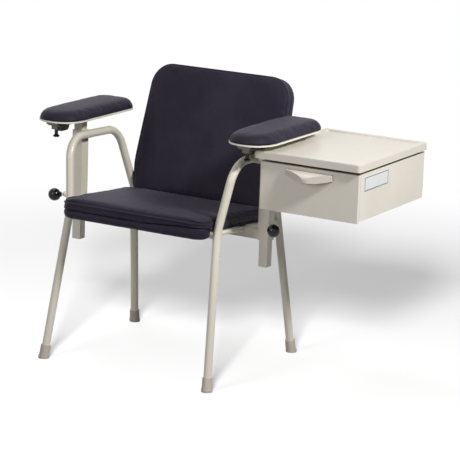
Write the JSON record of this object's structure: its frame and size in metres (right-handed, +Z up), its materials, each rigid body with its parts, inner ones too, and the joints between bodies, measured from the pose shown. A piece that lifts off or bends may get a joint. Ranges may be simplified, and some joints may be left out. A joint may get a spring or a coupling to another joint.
{
  "type": "phlebotomy chair",
  "caption": "Blood-drawing chair with bent-tube side frames, padded seat and back, height-adjustable padded arm rests and a side cabinet with a tray top and drawer.",
  "frame": {"origin": "floor level under the middle of the whole chair's bounding box", "axes": "+Z up, -Y towards the front of the chair, +X to the cabinet side (viewer's right from the front)"},
  "size_m": [0.9808, 0.5258, 0.7603],
  "materials": {
    "paint": "satin beige enamel",
    "cream": "satin cream enamel",
    "vinyl": "soft dark plum vinyl with a low sheen",
    "black": "glossy",
    "rubber": "matt",
    "steel": "zinc plated",
    "label": "smooth, bare"
  },
  "bodies": {
    "frame": {"side_frame_left": "paint", "side_frame_right": "paint", "foot_front_left": "rubber", "foot_front_right": "rubber", "foot_rear_left": "rubber", "foot_rear_right": "rubber", "front_cross_tube": "paint", "arm_cross_tube": "paint", "rear_cross_tube": "paint", "seat_rail_left": "paint", "seat_rail_right": "paint", "sleeve_left": "paint", "sleeve_right": "paint", "sleeve_tab_left": "paint", "sleeve_tab_right": "paint", "seat_board": "vinyl", "seat_cushion": "vinyl", "seat_front_roll": "vinyl", "seat_bolts": "steel", "back_uprights": "paint", "back_board": "vinyl", "back_cushion": "vinyl", "back_bolts": "steel", "cabinet_bracket": "paint", "cabinet_stay": "paint", "cabinet_bolts": "steel", "cabinet_stiffeners": "steel", "cabinet_shell": "paint", "drawer_runners": "steel", "drawer_bumpers": "black", "tray_spacers": "black", "tray_top": "cream", "nameplate": "label"},
    "left_post": {"arm_post_left": "paint", "arm_tongue_left": "steel"},
    "right_post": {"arm_post_right": "paint", "arm_tongue_right": "steel"},
    "left_carriage": {"arm_board_left": "cream", "arm_guides_left": "steel", "arm_clamp_left": "paint", "arm_pad_left": "vinyl"},
    "right_carriage": {"arm_board_right": "cream", "arm_guides_right": "steel", "arm_clamp_right": "paint", "arm_pad_right": "vinyl"},
    "left_slide_knob": {"slide_knob_left": "black", "slide_screw_left": "steel"},
    "right_slide_knob": {"slide_knob_right": "black", "slide_screw_right": "steel"},
    "left_height_knob": {"height_knob_left": "black", "height_screw_left": "steel"},
    "right_height_knob": {"height_knob_right": "black", "height_screw_right": "steel"},
    "drawer": {"drawer_box": "paint", "drawer_rails": "steel", "drawer_front": "paint", "drawer_handle": "cream", "drawer_rivets": "steel"}
  },
  "joints": [
    {"name": "left_arm_height", "type": "slide", "parent": "frame", "child": "left_post", "axis": [0, 0, 1], "range_m": [-0.012, 0.11]},
    {"name": "left_arm_slide", "type": "slide", "parent": "left_post", "child": "left_carriage", "axis": [0, 1, 0], "range_m": [-0.02, 0.05]},
    {"name": "left_slide_knob_turn", "type": "hinge", "parent": "left_carriage", "child": "left_slide_knob", "pos_m": [-0.42339, -0.14966, 0.6], "axis": [0, 0, 1], "range_deg": [0, 360]},
    {"name": "left_height_knob_turn", "type": "hinge", "parent": "frame", "child": "left_height_knob", "pos_m": [-0.42339, -0.03116, 0.413], "axis": [-0.7071, -0.7071, 0], "range_deg": [0, 360]},
    {"name": "right_arm_height", "type": "slide", "parent": "frame", "child": "right_post", "axis": [0, 0, 1], "range_m": [-0.0018, 0.095]},
    {"name": "right_arm_slide", "type": "slide", "parent": "right_post", "child": "right_carriage", "axis": [0, 1, 0], "range_m": [-0.02, 0.05]},
    {"name": "right_slide_knob_turn", "type": "hinge", "parent": "right_carriage", "child": "right_slide_knob", "pos_m": [0.16936, -0.14966, 0.6], "axis": [0, 0, 1], "range_deg": [0, 360]},
    {"name": "right_height_knob_turn", "type": "hinge", "parent": "frame", "child": "right_height_knob", "pos_m": [0.16936, -0.03116, 0.413], "axis": [0.7071, -0.7071, 0], "range_deg": [0, 360]},
    {"name": "drawer_slide", "type": "slide", "parent": "frame", "child": "drawer", "axis": [0, -1, 0], "range_m": [0, 0.28]}
  ]
}
